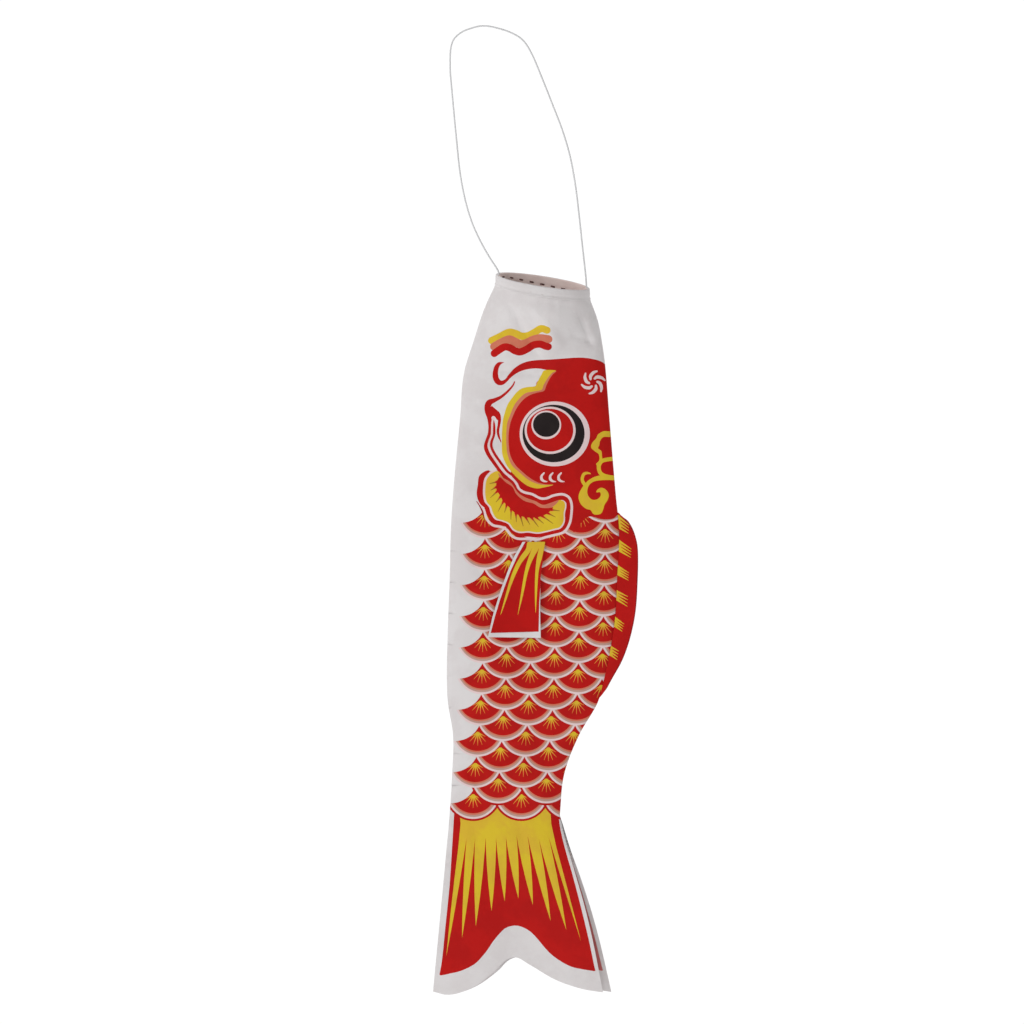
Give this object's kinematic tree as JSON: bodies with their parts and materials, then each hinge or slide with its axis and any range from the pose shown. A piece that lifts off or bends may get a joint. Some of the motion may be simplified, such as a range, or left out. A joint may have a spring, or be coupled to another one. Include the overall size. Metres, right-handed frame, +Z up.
{
  "type": "carp streamer",
  "caption": "Printed cloth carp streamer, hung mouth up from a cord loop: round hooped mouth, flattened tube body, open forked tail and loose fins.",
  "frame": {"origin": "top of the cord's loop, on the cord's centreline, where the streamer hangs", "axes": "+Z up; +X from the fish's belly towards its back; +Y from its left side towards its right side"},
  "size_m": [0.1564, 0.048, 0.7391],
  "materials": {
    "white_cloth": "satin",
    "printed_cloth": "satin",
    "fin_cloth": "satin",
    "hoop_plastic": "satin",
    "cord_nylon": "semi-gloss",
    "sewing_thread": "matte"
  },
  "bodies": {
    "cord": {"hanging_cord": "cord_nylon"},
    "mouth": {"cord_knot_belly": "cord_nylon", "cord_knot_back": "cord_nylon", "mouth_hoop": "hoop_plastic", "mouth_hem": "white_cloth", "hem_thread": "sewing_thread", "collar_cloth": "white_cloth", "back_seam_collar": "white_cloth", "neck_fold": "white_cloth"},
    "head": {"head_cloth": "printed_cloth", "back_seam_head": "white_cloth", "trunk_fold": "printed_cloth"},
    "trunk": {"trunk_cloth": "printed_cloth", "back_seam_trunk": "white_cloth", "tail_fold": "printed_cloth"},
    "tail": {"tail_stock_cloth": "printed_cloth", "back_seam_tail": "white_cloth", "tail_left": "printed_cloth", "tail_right": "printed_cloth"},
    "dorsal_fin": {"dorsal_fin": "fin_cloth"},
    "pectoral_fin_left": {"pectoral_fin_left": "fin_cloth"},
    "pectoral_fin_right": {"pectoral_fin_right": "fin_cloth"}
  },
  "joints": [
    {"name": "bridle_swing", "type": "hinge", "parent": "cord", "child": "mouth", "pos_m": [0.044, 0, -0.1951], "axis": [0.9885, 0, -0.151], "range_deg": [-90, 90], "deforming": ["hanging_cord"]},
    {"name": "neck_bend", "type": "hinge", "parent": "mouth", "child": "head", "pos_m": [0.044, 0, -0.262], "axis": [1, 0, 0], "range_deg": [-35, 35], "deforming": ["neck_fold"]},
    {"name": "trunk_bend", "type": "hinge", "parent": "head", "child": "trunk", "pos_m": [0.044, 0, -0.337], "axis": [1, 0, 0], "range_deg": [-45, 45], "deforming": ["trunk_fold"]},
    {"name": "tail_bend", "type": "hinge", "parent": "trunk", "child": "tail", "pos_m": [0.044, 0, -0.571], "axis": [1, 0, 0], "range_deg": [-60, 60], "deforming": ["tail_fold"]},
    {"name": "dorsal_fin_flop", "type": "hinge", "parent": "trunk", "child": "dorsal_fin", "pos_m": [0.1019, 0, -0.371], "axis": [-0.0984, 0, -0.9951], "range_deg": [-50, 50]},
    {"name": "pectoral_fin_left_lift", "type": "hinge", "parent": "trunk", "child": "pectoral_fin_left", "pos_m": [0.037, -0.00803, -0.393], "axis": [-1, 0, 0], "range_deg": [0, 100]},
    {"name": "pectoral_fin_right_lift", "type": "hinge", "parent": "trunk", "child": "pectoral_fin_right", "pos_m": [0.037, 0.00803, -0.393], "axis": [1, 0, 0], "range_deg": [0, 100]}
  ]
}
